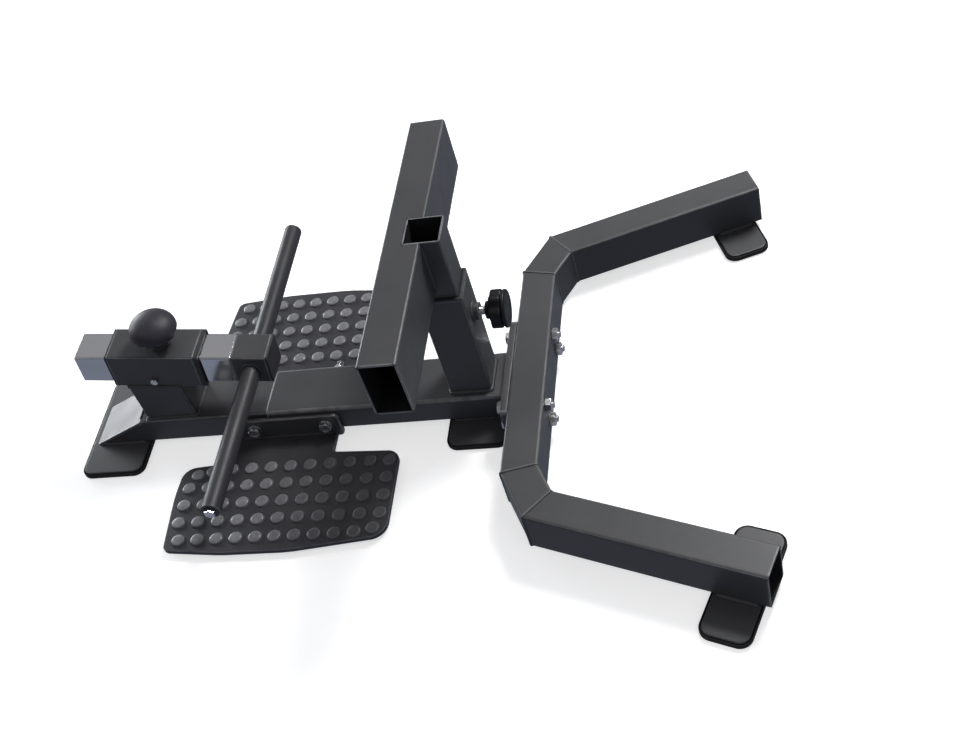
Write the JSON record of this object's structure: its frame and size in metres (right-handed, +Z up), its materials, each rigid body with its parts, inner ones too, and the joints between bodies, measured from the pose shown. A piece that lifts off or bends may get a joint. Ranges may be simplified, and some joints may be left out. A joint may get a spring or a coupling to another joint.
{
  "type": "sissy squat machine",
  "caption": "Low steel frame with studded foot plates, a sliding roller bar over the insteps, a telescoping calf crossbar on a rear post and a spread rear frame with rubber-shod feet.",
  "frame": {"origin": "On the floor, under the middle of the machine's length and width.", "axes": "+X runs along the spine from the toes towards the rear arms, +Y to the user's left, +Z up from the floor."},
  "size_m": [1.0313, 0.8296, 0.336],
  "materials": {
    "frame_paint": "satin charcoal powder coat",
    "plate_paint": "textured black powder coat",
    "pad_rubber": "moulded matt rubber",
    "chrome_plate": "bright chrome plate",
    "zinc_steel": "bright zinc plate",
    "knob_plastic": "fine-grained black moulding",
    "liner_plastic": "smooth black moulding"
  },
  "bodies": {
    "frame": {"main_beam": "frame_paint", "front_wedge_plate": "frame_paint", "saddle": "frame_paint", "beam_end_plate": "frame_paint", "front_foot_plate": "frame_paint", "rear_foot_plate": "frame_paint", "arm_foot_left_plate": "frame_paint", "arm_foot_right_plate": "frame_paint", "front_foot_pad": "pad_rubber", "rear_foot_pad": "pad_rubber", "arm_foot_left_pad": "pad_rubber", "arm_foot_right_pad": "pad_rubber", "foot_plate_left": "plate_paint", "foot_plate_right": "plate_paint", "plate_bolt_front": "zinc_steel", "plate_bolt_rear": "zinc_steel", "plate_nut_front": "zinc_steel", "plate_nut_rear": "zinc_steel", "plate_washer_near_front": "zinc_steel", "plate_washer_near_rear": "zinc_steel", "plate_washer_far_front": "zinc_steel", "plate_washer_far_rear": "zinc_steel", "front_post": "frame_paint", "front_sleeve": "frame_paint", "sleeve_liner_front": "liner_plastic", "sleeve_liner_rear": "liner_plastic", "sleeve_set_screw": "zinc_steel", "front_clamp_boss": "frame_paint", "rear_post": "frame_paint", "post_liner": "liner_plastic", "rear_clamp_boss": "frame_paint", "rear_crossbar": "frame_paint", "rear_corner_left": "frame_paint", "rear_corner_right": "frame_paint", "rear_arm_left": "frame_paint", "rear_arm_right": "frame_paint", "joint_bolt_1": "zinc_steel", "joint_bolt_2": "zinc_steel", "joint_bolt_3": "zinc_steel", "joint_bolt_4": "zinc_steel", "joint_nut_1": "zinc_steel", "joint_nut_2": "zinc_steel", "joint_nut_3": "zinc_steel", "joint_nut_4": "zinc_steel"},
    "front_slide": {"slide_tube": "chrome_plate", "bar_block": "frame_paint", "bar_block_cap": "liner_plastic", "roller_bar": "frame_paint", "bar_bolt_left": "zinc_steel", "bar_bolt_right": "zinc_steel"},
    "calf_support": {"height_tube": "frame_paint", "calf_crossbar": "frame_paint"},
    "front_clamp": {"front_clamp_stud": "zinc_steel"},
    "front_clamp_knob": {"front_knob": "knob_plastic"},
    "rear_clamp": {"rear_clamp_stud": "zinc_steel"},
    "rear_clamp_knob": {"rear_knob": "knob_plastic"}
  },
  "joints": [
    {"name": "foot_length_slide", "type": "slide", "parent": "frame", "child": "front_slide", "axis": [0.9925, 0, -0.1219], "range_m": [-0.044, 0.045]},
    {"name": "calf_height_slide", "type": "slide", "parent": "frame", "child": "calf_support", "axis": [0, 0, 1], "range_m": [-0.008, 0.1]},
    {"name": "front_clamp_travel", "type": "slide", "parent": "frame", "child": "front_clamp", "axis": [0.1219, 0, 0.9925], "range_m": [0, 0.0036]},
    {"name": "front_knob_turn", "type": "hinge", "parent": "front_clamp", "child": "front_clamp_knob", "pos_m": [-0.33358, 0, 0.20801], "axis": [0.1219, 0, 0.9925], "range_deg": [0, 720]},
    {"name": "rear_clamp_travel", "type": "slide", "parent": "frame", "child": "rear_clamp", "axis": [1, 0, 0], "range_m": [0, 0.0036]},
    {"name": "rear_knob_turn", "type": "hinge", "parent": "rear_clamp", "child": "rear_clamp_knob", "pos_m": [0.1674, 0, 0.185], "axis": [1, 0, 0], "range_deg": [0, 720]}
  ],
  "couplings": [
    {"joint": "front_clamp_travel", "follows": "front_knob_turn", "m_per_rad": 0.00027852},
    {"joint": "rear_clamp_travel", "follows": "rear_knob_turn", "m_per_rad": 0.00027852}
  ]
}
